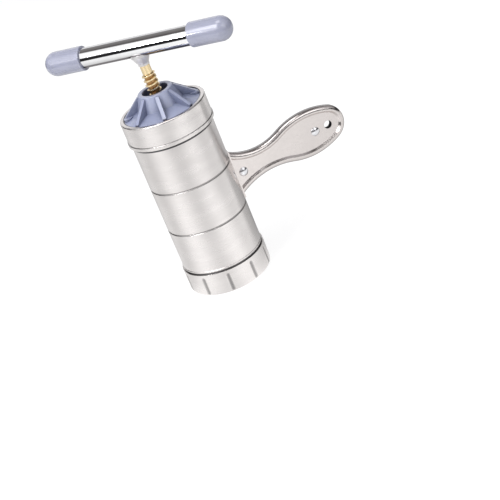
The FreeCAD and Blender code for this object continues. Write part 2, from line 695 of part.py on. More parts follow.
def threaded_rod(bottom, top, gap=0.0):
    """The screw's threaded length from bottom to top, thickened by gap on every side."""
    pitch = size("thread_pitch")
    root = size("thread_root")
    crest = size("thread_crest")
    flank = (size("ridge_foot") - size("ridge_top")) / 2 / (crest - root)
    sunk = size("ridge_sink")
    half_top = size("ridge_top") / 2 + gap
    half_foot = half_top + flank * (crest - root + sunk)
    first = pitch * (math.floor(bottom / pitch) - 1)
    length = pitch * math.ceil((top - first) / pitch + 1)
    helix = Part.makeHelix(pitch, length, root + gap)
    corners = [
        FreeCAD.Vector(root + gap - sunk, 0, -half_foot),
        FreeCAD.Vector(crest + gap, 0, -half_top),
        FreeCAD.Vector(crest + gap, 0, half_top),
        FreeCAD.Vector(root + gap - sunk, 0, half_foot),
    ]
    section = Part.makePolygon(corners + corners[:1])
    ridge = Part.Wire(helix.Edges).makePipeShell([section], True, True)
    ridge.translate(FreeCAD.Vector(0, 0, first))
    core = Part.makeCylinder(root + gap, length + 4 * pitch, FreeCAD.Vector(0, 0, first - 2 * pitch))
    window = Part.makeCylinder(crest + pitch, top - bottom, FreeCAD.Vector(0, 0, bottom))
    return core.fuse(ridge).common(window).Solids[0]


def rod(radius, bottom, top):
    foot = FreeCAD.Vector(0, 0, total(bottom))
    return Part.makeCylinder(total(radius), total(top) - total(bottom), foot)


def make_lead_screw():
    screw = threaded_rod(total("shoulder_top - screw_lap"), size("neck_bottom"))
    plain = [
        rod("journal_radius", "journal_end", "shoulder_bottom + screw_lap"),
        rod("shoulder_radius", "shoulder_bottom", "shoulder_top"),
        rod("neck_radius", "neck_bottom - screw_lap", "collar_foot"),
        rod("stud_radius", "collar_foot - screw_lap", "crank_height + stud_top"),
    ]
    screw = screw.fuse(plain)
    screw = screw.cut(rod("piston_screw_radius + pocket_gap", "journal_end - overcut",
                          "piston_screw_top + piston_screw_room"))
    if screw.ShapeType == "Compound" and len(screw.Solids) == 1:
        screw = screw.Solids[0]
    shaped("lead_screw", screw)


def make_piston_screw():
    body = new_body("piston_screw")
    turned = spin(body, "piston_screw_turned", [
        ("0", "screw_head_bottom"),
        ("piston_screw_head", "screw_head_bottom"),
        ("piston_screw_head", "end_washer_bottom"),
        ("piston_screw_radius", "end_washer_bottom"),
        ("piston_screw_radius", "piston_screw_top"),
        ("0", "piston_screw_top"),
    ])
    rim = [("piston_screw_head", "screw_head_bottom")]
    round_circles(body, turned, "piston_screw_round", "piston_screw_head_round", rim)
    keep(body, "piston_screw")


# Piston


def make_ring(name, inner, outer, bottom, top):
    body = new_body(name)
    spin(body, name + "_turned", [(inner, bottom), (outer, bottom), (outer, top), (inner, top)])
    keep(body, name)


def make_piston():
    body = new_body("piston_plate")
    spin(body, "piston_turned", [
        ("piston_counterbore", "piston_bottom"),
        ("piston_radius", "piston_bottom"),
        ("piston_radius", "seal_bottom"),
        ("seal_groove", "seal_bottom"),
        ("seal_groove", "seal_top"),
        ("piston_radius", "seal_top"),
        ("piston_radius", "piston_top"),
        ("piston_radius - piston_rim", "piston_top"),
        ("piston_radius - piston_rim", "piston_top - piston_dish"),
        ("piston_hub", "piston_top - piston_dish"),
        ("piston_hub", "piston_top"),
        ("journal_bore", "piston_top"),
        ("journal_bore", "counterbore_top"),
        ("piston_counterbore", "counterbore_top"),
    ])
    keep(body, "piston_plate")
    make_ring("piston_seal", "seal_groove + pocket_gap", "seal_radius",
              "seal_bottom + pocket_gap", "seal_top - pocket_gap")
    make_ring("thrust_washer", "journal_bore", "washer_radius",
              "piston_top", "piston_top + washer_thickness")
    make_ring("end_washer", "piston_screw_radius + pocket_gap", "washer_radius",
              "end_washer_bottom", "journal_end")


# Crank


def crank_place():
    turn = FreeCAD.Rotation(UP, size("crank_azimuth"))
    return FreeCAD.Placement(FreeCAD.Vector(0, 0, size("crank_height")), turn)


LYING = FreeCAD.Rotation(FreeCAD.Vector(0, 1, 0), 90)


def lying_rod(name, radius, start, length):
    """A cylinder along X through the crank's own origin."""
    return primitive("Cylinder", name, (start, "0", "0"), LYING, Radius=radius, Height=length)


def make_crank_tube():
    outer = lying_rod("tube_outside", "tube_radius", "tube_end_gap - cap_centre",
                      "cap_centre + cap_centre - tube_end_gap - tube_end_gap")
    inner = lying_rod("tube_inside", "tube_bore", "0 - cap_centre", "cap_centre + cap_centre")
    hole = primitive("Cylinder", "stud_hole_tube", ("0", "0", "0 - tube_radius - overcut"),
                     Radius="stud_hole", Height="tube_radius")
    tube = cut("crank_tube_drilled", outer, fuse("crank_tube_hollow", inner, hole))
    tube.Placement = crank_place()
    keep(tube, "crank_tube")


def make_cross_nut():
    rod_part = lying_rod("cross_nut_rod", "cross_nut_radius", "0 - cross_nut_length", "cross_nut_length")
    tie(rod_part, "Placement.Base.x", "0 - half_cross_nut")
    hole = primitive("Cylinder", "stud_hole_nut", ("0", "0", "0 - tube_radius"),
                     Radius="stud_hole", Height="tube_radius + tube_radius")
    nut = cut("cross_nut_drilled", rod_part, hole)
    nut.Placement = crank_place()
    keep(nut, "crank_cross_nut")


def make_collar():
    body = new_body("saddle_collar")
    spin(body, "collar_turned", [
        ("stud_hole", "0 - collar_rise"),
        ("collar_foot_radius", "0 - collar_rise"),
        ("collar_foot_radius", "collar_waist_rise - collar_rise"),
        ("collar_mouth_radius", "collar_mouth_rise - collar_rise"),
        ("collar_mouth_radius", "collar_wrap - collar_rise"),
        ("stud_hole", "collar_wrap - collar_rise"),
    ])
    saddle = lying_rod("collar_saddle", "cap_bore", "0 - cap_centre", "cap_centre + cap_centre")
    collar = cut("collar_saddled", body, saddle)
    collar.Placement = crank_place()
    keep(collar, "saddle_collar")


def make_cap(name, turn):
    """One plastic end: a sleeve with a rounded mouth and a round end, turned about the tube's axis."""
    body = new_body(name)
    cap = spin(body, name + "_turned", [
        ("cap_bore", "cap_mouth"),
        ("cap_radius", "cap_mouth"),
        ("cap_radius", "cap_end"),
        ("0", "cap_end"),
        ("0", "cap_centre"),
        ("cap_bore", "cap_centre"),
    ])
    dome = round_circles(body, cap, name + "_dome", "cap_radius - cap_flat", [("cap_radius", "cap_end")])
    round_circles(body, dome, name + "_mouth", "cap_lip", [("cap_radius", "cap_mouth")])
    aside = FreeCAD.Placement(CENTRE, FreeCAD.Rotation(UP, turn).multiply(LYING))
    body.Placement = crank_place().multiply(aside)
    keep(body, name)


# Side handle: x runs along the handle, y upwards from its centre line and z through its thickness


def handle_place():
    angle = math.radians(size("handle_azimuth"))
    outwards = FreeCAD.Vector(math.cos(angle), math.sin(angle), 0)
    through = outwards.cross(UP)
    return FreeCAD.Placement(FreeCAD.Vector(0, 0, size("handle_height")),
                             FreeCAD.Rotation(outwards, UP, through, "XYZ"))


def arc_about(centre, start, end):
    """The shorter arc from start to end about centre."""
    radius = start.sub(centre).Length
    middle = start.sub(centre).add(end.sub(centre))
    middle.normalize()
    return Part.Arc(start, centre.add(middle.multiply(radius)), end).toShape()


def handle_side(side, tip):
    """The joints between the arcs of one edge, upper for side 1 and lower for side -1, root first."""
    edge = "upper" if side > 0 else "lower"
    waist_reach = size("waist_reach_" + edge)
    waist_half = size("waist_half_" + edge)
    paddle_reach = size("paddle_reach")
    paddle_half = size("paddle_half")
    tip_radius = size("tip_radius")
    drop = side * tip.y - paddle_half
    run = tip.x - paddle_reach
    flank_radius = (tip_radius ** 2 - run ** 2 - drop ** 2) / (2 * (drop + tip_radius))
    gain = paddle_half - waist_half
    waist_radius = ((paddle_reach - waist_reach) ** 2 + gain ** 2) / (2 * gain) - flank_radius
    flank = FreeCAD.Vector(paddle_reach, side * (paddle_half - flank_radius), 0)
    waist = FreeCAD.Vector(waist_reach, side * (waist_half + waist_radius), 0)
    inner = size("root_radius") - 2 * (size("panel_border") + size("panel_slope"))
    fall = math.sqrt(waist_radius ** 2 - (waist_reach - inner) ** 2)
    root = FreeCAD.Vector(inner, waist.y - side * fall, 0)
    share = waist_radius / (waist_radius + flank_radius)
    neck = waist.add(flank.sub(waist).multiply(share))
    outward = tip.sub(flank)
    outward.normalize()
    shoulder = flank.add(outward.multiply(flank_radius))
    return root, waist, neck, flank, shoulder


def handle_wire():
    """The handle's outline, from inside the barrel's radius to the tip and back."""
    tip = FreeCAD.Vector(size("handle_reach") - size("tip_radius"), size("tip_rise"), 0)
    root_up, waist_up, neck_up, flank_up, shoulder_up = handle_side(1, tip)
    root_low, waist_low, neck_low, flank_low, shoulder_low = handle_side(-1, tip)
    return Part.Wire([
        arc_about(waist_up, root_up, neck_up),
        arc_about(flank_up, neck_up, shoulder_up),
        arc_about(tip, shoulder_up, shoulder_low),
        arc_about(flank_low, shoulder_low, neck_low),
        arc_about(waist_low, neck_low, root_low),
        Part.LineSegment(root_low, root_up).toShape(),
    ])


def inset(wire, distance, height):
    """The outline moved inwards and lifted through the handle's thickness."""
    moved = wire.makeOffset2D(-distance)
    moved.translate(FreeCAD.Vector(0, 0, height))
    return moved


def slab(wire, distance, height, rounding):
    """A plate of the inset outline whose outer edge is rounded on top."""
    plate = Part.Face(inset(wire, distance, 0)).extrude(FreeCAD.Vector(0, 0, height))
    edges = []
    for edge in plate.Edges:
        level = abs(edge.BoundBox.ZMin - height) < 1e-4 and abs(edge.BoundBox.ZMax - height) < 1e-4
        if level and isinstance(edge.Curve, Part.Circle):
            edges.append(edge)
    return plate.makeFillet(rounding, edges)


def sunk_panel(wire, thickening, bottom, top):
    """The space of the sunk panel, with its sloping edge, grown by thickening."""
    border = size("panel_border") - thickening
    foot = border + size("panel_slope")
    low = inset(wire, foot, bottom)
    high = inset(wire, border, top)
    return Part.makeLoft([low, high], True, True)


def standing_rod(reach, rise, radius, bottom, top):
    foot = FreeCAD.Vector(reach, rise, bottom)
    return Part.makeCylinder(radius, top - bottom, foot)


def barrel_round(radius):
    """A cylinder about the barrel's axis in the handle's own frame."""
    tall = 4 * size("barrel_radius")
    return Part.makeCylinder(radius, tall, FreeCAD.Vector(0, -tall / 2, 0), FreeCAD.Vector(0, 1, 0))


def handle_shell():
    """One stamped half on the positive side of the middle plane."""
    wire = handle_wire()
    sheet_wall = size("handle_sheet")
    height = size("shell_height")
    below = -size("overcut")
    rounding = size("handle_round")
    hole = (size("hang_hole_reach"), -size("hang_hole_drop"))
    shell = slab(wire, 0, height, rounding)
    shell = shell.cut(sunk_panel(wire, 0, size("panel_top"), height))
    hollow = slab(wire, sheet_wall, height - sheet_wall, rounding - sheet_wall)
    hollow = hollow.cut(sunk_panel(wire, size("slope_sheet"), size("panel_underside"), height))
    shell = shell.cut(hollow)
    shell = shell.fuse(standing_rod(*hole, size("hang_hole_radius") + sheet_wall, 0, size("panel_top")))
    holes = [
        standing_rod(*hole, size("hang_hole_radius"), below, height),
        standing_rod(size("tip_rivet_reach"), -size("tip_rivet_drop"),
                     size("tip_rivet_radius") + size("pocket_gap"), below, height),
        standing_rod(size("root_rivet_reach"), -size("root_rivet_drop"),
                     size("root_rivet_radius") + size("pocket_gap"), below, height),
        barrel_round(size("root_radius")),
    ]
    shell = shell.cut(holes).removeSplitter()
    shell.translate(FreeCAD.Vector(0, 0, size("shell_seam") / 2))
    return shell.Solids[0]


def make_handle_shells():
    front = handle_shell()
    shaped("handle_shell_front", front, handle_place())
    shaped("handle_shell_rear", front.mirror(CENTRE, UP), handle_place())


def domed_rivet(radius, head_radius):
    """A rivet through both shells, domed at both ends."""
    dome = size("rivet_dome")
    seat = size("panel_top") + size("shell_seam") / 2
    ball = (head_radius ** 2 + dome ** 2) / (2 * dome)
    latitude = math.degrees(math.asin((ball - dome) / ball))
    head = Part.makeSphere(ball, FreeCAD.Vector(0, 0, seat + dome - ball), UP, latitude, 90, 360)
    shank = Part.makeCylinder(radius, 2 * seat, FreeCAD.Vector(0, 0, -seat))
    return shank.fuse([head, head.mirror(CENTRE, UP)]).removeSplitter().Solids[0]


def make_handle_rivets():
    for end in ("tip", "root"):
        rivet = domed_rivet(size(end + "_rivet_radius"), size(end + "_rivet_head"))
        rivet.translate(FreeCAD.Vector(size(end + "_rivet_reach"), -size(end + "_rivet_drop"), 0))
        shaped(f"handle_{end}_rivet", rivet, handle_place())


def make_handle_bracket():
    """A curved plate on the barrel with a tongue between the two shells."""
    wire = handle_wire()
    root_line = Part.makeLine(FreeCAD.Vector(size("root_radius"), -size("handle_height"), 0),
                              FreeCAD.Vector(size("root_radius"), size("handle_height"), 0))
    root = Part.Face(wire).common(root_line)
    low = root.BoundBox.YMin - size("bracket_margin")
    high = root.BoundBox.YMax + size("bracket_margin")
    half = size("bracket_half")
    reach = total("bracket_radius + overcut")
    strip = Part.makeBox(reach, high - low, 2 * half, FreeCAD.Vector(0, low, -half))
    plate = barrel_round(size("bracket_radius")).common(strip)
    tongue_half = size("tongue_half")
    rise = -size("root_rivet_drop")
    thick = size("panel_underside") + size("shell_seam") / 2 - size("pocket_gap")
    tongue = Part.makeBox(size("tongue_reach"), 2 * tongue_half, 2 * thick,
                          FreeCAD.Vector(0, rise - tongue_half, -thick))
    hole = standing_rod(size("root_rivet_reach"), rise, size("root_rivet_radius") + size("pocket_gap"),
                        -2 * thick, 2 * thick)
    bracket = plate.fuse(tongue).cut([barrel_round(size("bracket_bore")), hole]).removeSplitter()
    shaped("handle_bracket", bracket.Solids[0], handle_place())


# The whole press


def make_all():
    fill_sheet()
    make_barrel()
    make_head_ring()
    make_foot_ring()
    make_die_plate()
    make_cover()
    make_lead_nut()
    make_nut_screws()
    make_lead_screw()
    make_piston()
    make_piston_screw()
    make_collar()
    make_crank_tube()
    make_cross_nut()
    make_cap("crank_cap_left", 180)
    make_cap("crank_cap_right", 0)
    make_handle_bracket()
    make_handle_shells()
    make_handle_rivets()
    doc.recompute()


def check_all():
    """Stops before anything is written if an object failed or a sub-part isn't sound."""
    for item in doc.Objects:
        if "Invalid" in item.State or "Error" in item.State:
            raise RuntimeError(f"{item.Name} failed: {item.State}")
    for part in subparts:
        if part.Shape.isNull() or not part.Shape.isValid() or not part.Shape.Solids:
            raise RuntimeError(f"{part.Label} has no sound shape")


def write_all():
    os.makedirs("parts", exist_ok=True)
    for part in subparts:
        part.Shape.exportStep(f"parts/{part.Label}.step")
        count = len(part.Shape.Solids)
        print(f"{part.Label}: {count} solid(s), {part.Shape.Volume / 1000:.2f} cm3")


make_all()
check_all()
write_all()
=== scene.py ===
import json
import math

import bpy
from mathutils import Matrix, Vector


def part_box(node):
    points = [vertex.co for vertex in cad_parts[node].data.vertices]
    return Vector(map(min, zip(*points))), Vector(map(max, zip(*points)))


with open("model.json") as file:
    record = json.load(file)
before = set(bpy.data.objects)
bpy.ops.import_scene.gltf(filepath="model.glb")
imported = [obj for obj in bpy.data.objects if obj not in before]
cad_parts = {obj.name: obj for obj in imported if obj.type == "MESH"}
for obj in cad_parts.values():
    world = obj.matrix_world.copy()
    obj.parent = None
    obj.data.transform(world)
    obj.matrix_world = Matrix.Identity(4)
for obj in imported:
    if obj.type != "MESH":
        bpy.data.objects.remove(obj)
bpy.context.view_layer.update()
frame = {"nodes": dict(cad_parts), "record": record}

# Hand-cranked pasta press, in metres, in the CAD model's frame: +Z up the barrel, front towards -Y

MM = 0.001
SCENE = bpy.context.scene

# Sizes of the CAD model that no box of the frame gives

HEAD_BEAD_HEIGHT = 3.1 * MM
GROOVE_RISE = 38.9 * MM
GROOVE_SPACING = 39.5 * MM
NECK_LENGTH = 8.0 * MM
LIP_REACH = 2.8 * MM
FOOT_EDGE_ROUND = 2.6 * MM

# Places worked out from the frame

FOOT_RING_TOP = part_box("foot_ring")[1][2]
FOOT_RING_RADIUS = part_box("foot_ring")[1][0]
HEAD_RING_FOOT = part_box("head_ring")[0][2]
HEAD_BEAD_TOP = HEAD_RING_FOOT + HEAD_BEAD_HEIGHT
GROOVE_LOW = FOOT_RING_TOP + GROOVE_RISE
GROOVE_HIGH = GROOVE_LOW + GROOVE_SPACING
NECK_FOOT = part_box("saddle_collar")[0][2] - NECK_LENGTH
LIP_BORE = FOOT_RING_RADIUS - LIP_REACH
TUBE_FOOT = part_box("crank_tube")[0][2]


# Camera


def make_camera():
    """The photograph's view: from the front and above, rolled so that the barrel leans."""
    elevation = 0.4512
    roll = -0.3875
    distance_mm = 1300
    distance = distance_mm * MM
    pixels_per_mm = 1.179
    picture_pixels = 500
    focal_share = pixels_per_mm * distance_mm / picture_pixels
    target = Vector((22.15, 0, 12.4)) * MM
    back = Vector((0, -math.cos(elevation), math.sin(elevation)))
    right = Vector((1, 0, 0))
    upwards = back.cross(right)
    across = right * math.cos(roll) + upwards * math.sin(roll)
    along = upwards * math.cos(roll) - right * math.sin(roll)
    data = bpy.data.cameras.new("camera")
    data.sensor_width = 36
    data.lens = focal_share * data.sensor_width
    data.clip_start = 0.05
    data.clip_end = 50
    camera = bpy.data.objects.new("camera", data)
    turn = Matrix((across, along, back)).transposed()
    camera.matrix_world = Matrix.Translation(target + back * distance) @ turn.to_4x4()
    SCENE.collection.objects.link(camera)
    SCENE.camera = camera


# Shader graphs


class Graph:
    """Adds nodes to one node tree and links them by their inputs."""

    def __init__(self, tree):
        self.tree = tree
        tree.nodes.clear()

    def add(self, kind, inputs=None, **settings):
        node = self.tree.nodes.new("ShaderNode" + kind)
        for name, value in settings.items():
            setattr(node, name, value)
        for name, value in (inputs or {}).items():
            socket = node.inputs[name]
            if isinstance(value, bpy.types.NodeSocket):
                self.tree.links.new(value, socket)
            else:
                socket.default_value = value
        return node

    def math(self, operation, first, second=0.0, third=0.0):
        node = self.add("Math", {0: first, 1: second, 2: third}, operation=operation)
        return node.outputs[0]

    def noise(self, vector, scale, detail=4.0, roughness=0.55):
        node = self.add("TexNoise", {
            "Vector": vector, "Scale": scale, "Detail": detail, "Roughness": roughness,
        })
        return node.outputs["Fac"]

    def spread(self, value, low, high, start=0.3, end=0.7):
        """The value from start to end mapped to low to high."""
        node = self.add("MapRange", {
            "Value": value, "From Min": start, "From Max": end, "To Min": low, "To Max": high,
        })
        return node.outputs["Result"]

    def mix(self, share, first, second):
        node = self.add("Mix", data_type="RGBA")
        for index, value in ((0, share), (6, first), (7, second)):
            if isinstance(value, bpy.types.NodeSocket):
                self.tree.links.new(value, node.inputs[index])
            else:
                node.inputs[index].default_value = value
        return node.outputs[2]

    def position(self):
        return self.add("TexCoord").outputs["Object"]

    def round_axis(self, position):
        """Radius, height, the two parts of the direction outwards, and height plus radius."""
        parts = self.add("SeparateXYZ", {"Vector": position})
        x, y, z = parts.outputs
        flat = self.add("CombineXYZ", {"X": x, "Y": y})
        radius = self.add("VectorMath", {0: flat.outputs[0]}, operation="LENGTH").outputs["Value"]
        unit = self.add("VectorMath", {0: flat.outputs[0]}, operation="NORMALIZE").outputs[0]
        sides = self.add("SeparateXYZ", {"Vector": unit})
        level = self.math("ADD", z, radius)
        return radius, z, sides.outputs[0], sides.outputs[1], level

    def stretched(self, first, second, third, scales):
        parts = zip((first, second, third), scales)
        scaled = [self.math("MULTIPLY", part, scale) for part, scale in parts]
        return self.add("CombineXYZ", {"X": scaled[0], "Y": scaled[1], "Z": scaled[2]}).outputs[0]


def colour(red, green, blue):
    return (red, green, blue, 1.0)


def shade(base, share):
    return colour(*[min(channel * share, 1.0) for channel in base])


def new_material(name):
    material = bpy.data.materials.new(name)
    material.use_nodes = True
    return material, Graph(material.node_tree)


def finish_surface(graph, inputs, bumps, edge=0.15 * MM):
    """Closes the graph with a Principled shader; bumps are height, strength and distance triples."""
    normal = graph.add("Bevel", {"Radius": edge}, samples=6).outputs[0]
    for height, strength, distance in bumps:
        normal = graph.add("Bump", {
            "Height": height, "Strength": strength, "Distance": distance, "Normal": normal,
        }).outputs[0]
    inputs["Normal"] = normal
    shader = graph.add("BsdfPrincipled", inputs)
    graph.add("OutputMaterial", {"Surface": shader.outputs[0]})


def seam_painted_shade(graph, height, seams):
    """Painted shade: dark lines round the barrel at its seams and grooves; each seam is a height, a half width in
    mm and a depth of tone.
    """
    painted_shade = 0.0
    for middle, half, depth in seams:
        off = graph.math("ABSOLUTE", graph.math("SUBTRACT", height, middle))
        line = graph.spread(off, depth, 0.0, half * 0.6 * MM, half * MM)
        painted_shade = graph.math("MAXIMUM", line, painted_shade)
    return painted_shade


def flute_painted_shade(graph, radius, height):
    """Grey painted shade in the foot ring's flutes, which lie inside the ring's outline with its rounded lower
    edge.
    """
    low = graph.math("MAXIMUM", graph.math("SUBTRACT", FOOT_EDGE_ROUND, height), 0.0)
    squares = graph.math("SUBTRACT", FOOT_EDGE_ROUND ** 2, graph.math("MULTIPLY", low, low))
    rounding = graph.math("SQRT", squares)
    outline = graph.math("ADD", rounding, FOOT_RING_RADIUS - FOOT_EDGE_ROUND)
    sunk = graph.math("SUBTRACT", outline, radius)
    return graph.math("MULTIPLY", graph.spread(sunk, 0.0, 0.62, 0.05 * MM, 0.7 * MM),
                      graph.spread(sunk, 1.0, 0.0, 0.78 * MM, 0.86 * MM))


def turned_steel(name, base, smooth, rough, seams=(), flutes=False):
    """Satin steel with fine marks round the barrel's axis, and painted shade in its seams or in the foot ring's
    flutes.
    """
    material, graph = new_material(name)
    place = graph.position()
    radius, height, side_x, side_y, level = graph.round_axis(place)
    lines = graph.noise(graph.stretched(side_x, side_y, level, (1.2, 1.2, 1800.0)), 1.0, 3.0)
    bands = graph.noise(graph.stretched(side_x, side_y, level, (0.8, 0.8, 120.0)), 1.0, 2.0)
    clouds = graph.noise(place, 55.0, 3.0)
    tone = graph.mix(graph.spread(lines, 0.0, 1.0), shade(base, 0.965), shade(base, 1.02))
    tone = graph.mix(graph.spread(clouds, 0.0, 0.5), tone, shade(base, 0.95))
    painted_shade = flute_painted_shade(graph, radius, height) if flutes else seam_painted_shade(graph, height, seams)
    # Painted shade: the seam lines or the flutes go towards near black.
    tone = graph.mix(painted_shade, tone, colour(0.035, 0.035, 0.04))
    worn = graph.spread(bands, smooth, rough)
    worn = graph.math("ADD", worn, graph.spread(clouds, -0.02, 0.03))
    tangent = graph.add("Tangent", direction_type="RADIAL", axis="Z").outputs[0]
    finish_surface(graph, {
        "Base Color": tone, "Metallic": 1.0, "Roughness": worn,
        "Anisotropic": 0.6, "Anisotropic Rotation": 0.25, "Tangent": tangent,
    }, [(lines, 0.05, 0.02 * MM), (clouds, 0.04, 0.3 * MM)])
    return material


def pressed_steel(name, base, smooth, rough, hole=None):
    """Stamped and tumbled steel with a soft waviness; painted shade makes a hole's wall near black and darkens the
    band along the plane across its middle.
    """
    material, graph = new_material(name)
    place = graph.position()
    waves = graph.noise(place, 90.0, 2.0)
    grain = graph.noise(place, 500.0, 3.0)
    streaks = graph.add("TexNoise", {
        "Vector": place, "Scale": 160.0, "Detail": 5.0, "Roughness": 0.6, "Distortion": 2.0,
    }).outputs["Fac"]
    tone = graph.mix(graph.spread(waves, 0.0, 1.0), shade(base, 0.96), shade(base, 1.02))
    tone = graph.mix(graph.spread(streaks, 0.0, 0.35, 0.5, 0.7), tone, shade(base, 1.08))
    worn = graph.spread(grain, smooth, rough)
    worn = graph.math("ADD", worn, graph.spread(waves, -0.02, 0.03))
    if hole:
        away = graph.add("VectorMath", {0: place, 1: hole["pos_m"]}, operation="SUBTRACT").outputs[0]
        off = graph.add("VectorMath", {0: away, 1: hole["axis"]}, operation="CROSS_PRODUCT").outputs[0]
        reach = graph.add("VectorMath", {0: off}, operation="LENGTH").outputs["Value"]
        # Painted shade: the hole's wall goes near black.
        edge = hole["r_m"] + 0.02 * MM
        wall = graph.spread(reach, 1.0, 0.0, edge, edge + 0.08 * MM)
        along = graph.add("VectorMath", {0: away, 1: hole["axis"]}, operation="DOT_PRODUCT")
        through = graph.math("ABSOLUTE", along.outputs["Value"])
        # Painted shade: the band along the plane across the hole's middle, on the handle's side walls, is darker.
        seam = graph.spread(through, 1.0, 0.0, 1.4 * MM, 2.4 * MM)
        tone = graph.mix(graph.math("MULTIPLY", seam, 0.6), tone, colour(0.16, 0.16, 0.175))
        tone = graph.mix(wall, tone, colour(0.03, 0.03, 0.033))
        worn = graph.math("MAXIMUM", worn, graph.math("MULTIPLY", wall, 0.7))
    finish_surface(graph, {"Base Color": tone, "Metallic": 1.0, "Roughness": worn},
                   [(waves, 0.08, 0.4 * MM)], 0.25 * MM)
    return material


def bright_chrome(name):
    """Polished plating with a faint haze and a few wiping marks, with painted shade along the tube's underside."""
    material, graph = new_material(name)
    place = graph.position()
    haze = graph.noise(place, 70.0, 5.0)
    wipes = graph.noise(place, 480.0, 6.0, 0.7)
    tone = graph.mix(graph.spread(haze, 0.0, 1.0), colour(0.80, 0.80, 0.81), colour(0.88, 0.88, 0.89))
    height = graph.add("SeparateXYZ", {"Vector": place}).outputs[2]
    # Painted shade along the tube's lowest few millimetres.
    painted_under_shade = graph.spread(height, 0.9, 0.0, TUBE_FOOT + 3.3 * MM, TUBE_FOOT + 4.3 * MM)
    tone = graph.mix(painted_under_shade, tone, colour(0.10, 0.08, 0.09))
    worn = graph.math("ADD", graph.spread(haze, 0.035, 0.09), graph.spread(wipes, 0.0, 0.03))
    finish_surface(graph, {"Base Color": tone, "Metallic": 1.0, "Roughness": worn},
                   [(haze, 0.03, 0.15 * MM)], 0.2 * MM)
    return material


def grease_and_shade_brass(name):
    """Turned brass, bright on the crests and neck, browner down in the thread from grease and painted shade."""
    material, graph = new_material(name)
    place = graph.position()
    radius, height = graph.round_axis(place)[:2]
    stains = graph.noise(place, 320.0, 4.0)
    lines = graph.noise(place, 1500.0, 3.0)
    depth = graph.math("ADD", radius, graph.spread(stains, -0.2 * MM, 0.2 * MM))
    crest = graph.spread(depth, 0.0, 1.0, 4.2 * MM, 5.3 * MM)
    neck = graph.spread(height, 0.0, 1.0, NECK_FOOT - 0.2 * MM, NECK_FOOT + 0.2 * MM)
    crest_or_neck = graph.math("MAXIMUM", crest, neck)
    bright = graph.mix(graph.spread(lines, 0.0, 1.0), colour(0.88, 0.68, 0.38), colour(0.95, 0.80, 0.54))
    # Down in the thread the brown is partly grease and partly painted shade.
    tone = graph.mix(crest_or_neck, colour(0.50, 0.27, 0.10), bright)
    worn = graph.math("ADD", graph.spread(crest_or_neck, 0.34, 0.16, 0.0, 1.0), graph.spread(stains, -0.03, 0.05))
    finish_surface(graph, {"Base Color": tone, "Metallic": 1.0, "Roughness": worn},
                   [(lines, 0.05, 0.02 * MM)], 0.12 * MM)
    return material


def moulded_plastic(name, base, painted_shade_colour, rough, coat, coat_rough, grain_scale=1400.0, rim=None):
    """Blue-grey plastic with a moulded grain and flow marks, with painted shade where tucked in and beyond a rim.
    """
    material, graph = new_material(name)
    place = graph.position()
    grain = graph.noise(place, grain_scale, 3.0)
    flow = graph.add("TexNoise", {
        "Vector": place, "Scale": 45.0, "Detail": 4.0, "Roughness": 0.5, "Distortion": 1.2,
    }).outputs["Fac"]
    dust = graph.noise(place, 420.0, 6.0, 0.7)
    tone = graph.mix(graph.spread(flow, 0.0, 1.0), shade(base, 0.96), shade(base, 1.04))
    # Painted shade: ambient occlusion darkens the colour in corners and recesses.
    open_air = graph.add("AmbientOcclusion", {"Distance": 18 * MM}, samples=8).outputs["AO"]
    tone = graph.mix(graph.spread(open_air, 1.0, 0.0, 0.10, 0.95), tone, colour(*painted_shade_colour))
    tone = graph.mix(graph.spread(dust, 0.0, 0.10, 0.55, 0.75), tone, colour(0.75, 0.76, 0.80))
    if rim:
        # Painted shade of the ring's lip on the cover's edge beyond the rim radius.
        lip_shade = graph.spread(graph.round_axis(place)[0], 0.0, 0.9, rim - 1.3 * MM, rim - 0.6 * MM)
        tone = graph.mix(lip_shade, tone, colour(0.03, 0.03, 0.05))
    worn = graph.math("ADD", graph.spread(grain, rough - 0.04, rough + 0.06), graph.spread(flow, -0.02, 0.03))
    finish_surface(graph, {
        "Base Color": tone, "Roughness": worn, "Coat Weight": coat, "Coat Roughness": coat_rough,
        "Subsurface Weight": 0.08, "Subsurface Radius": (0.001, 0.001, 0.0015),
    }, [(grain, 0.04, 0.02 * MM), (flow, 0.03, 0.2 * MM)], 0.3 * MM)
    return material


def seal_rubber(name):
    """Pale matte rubber with a moulded grain."""
    material, graph = new_material(name)
    place = graph.position()
    grain = graph.noise(place, 1100.0, 4.0)
    clouds = graph.noise(place, 90.0, 3.0)
    tone = graph.mix(graph.spread(clouds, 0.0, 1.0), colour(0.50, 0.50, 0.51), colour(0.62, 0.62, 0.63))
    finish_surface(graph, {"Base Color": tone, "Roughness": graph.spread(grain, 0.6, 0.8)},
                   [(grain, 0.15, 0.05 * MM)], 0.2 * MM)
    return material


def mount(name):
    """The named mount's place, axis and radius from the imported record."""
    found = next(entry for entry in frame["record"]["mounts"] if entry["name"] == name)
    return {"pos_m": found["pos_m"], "axis": found["axis"], "r_m": found["dims"]["r_mm"] * MM}


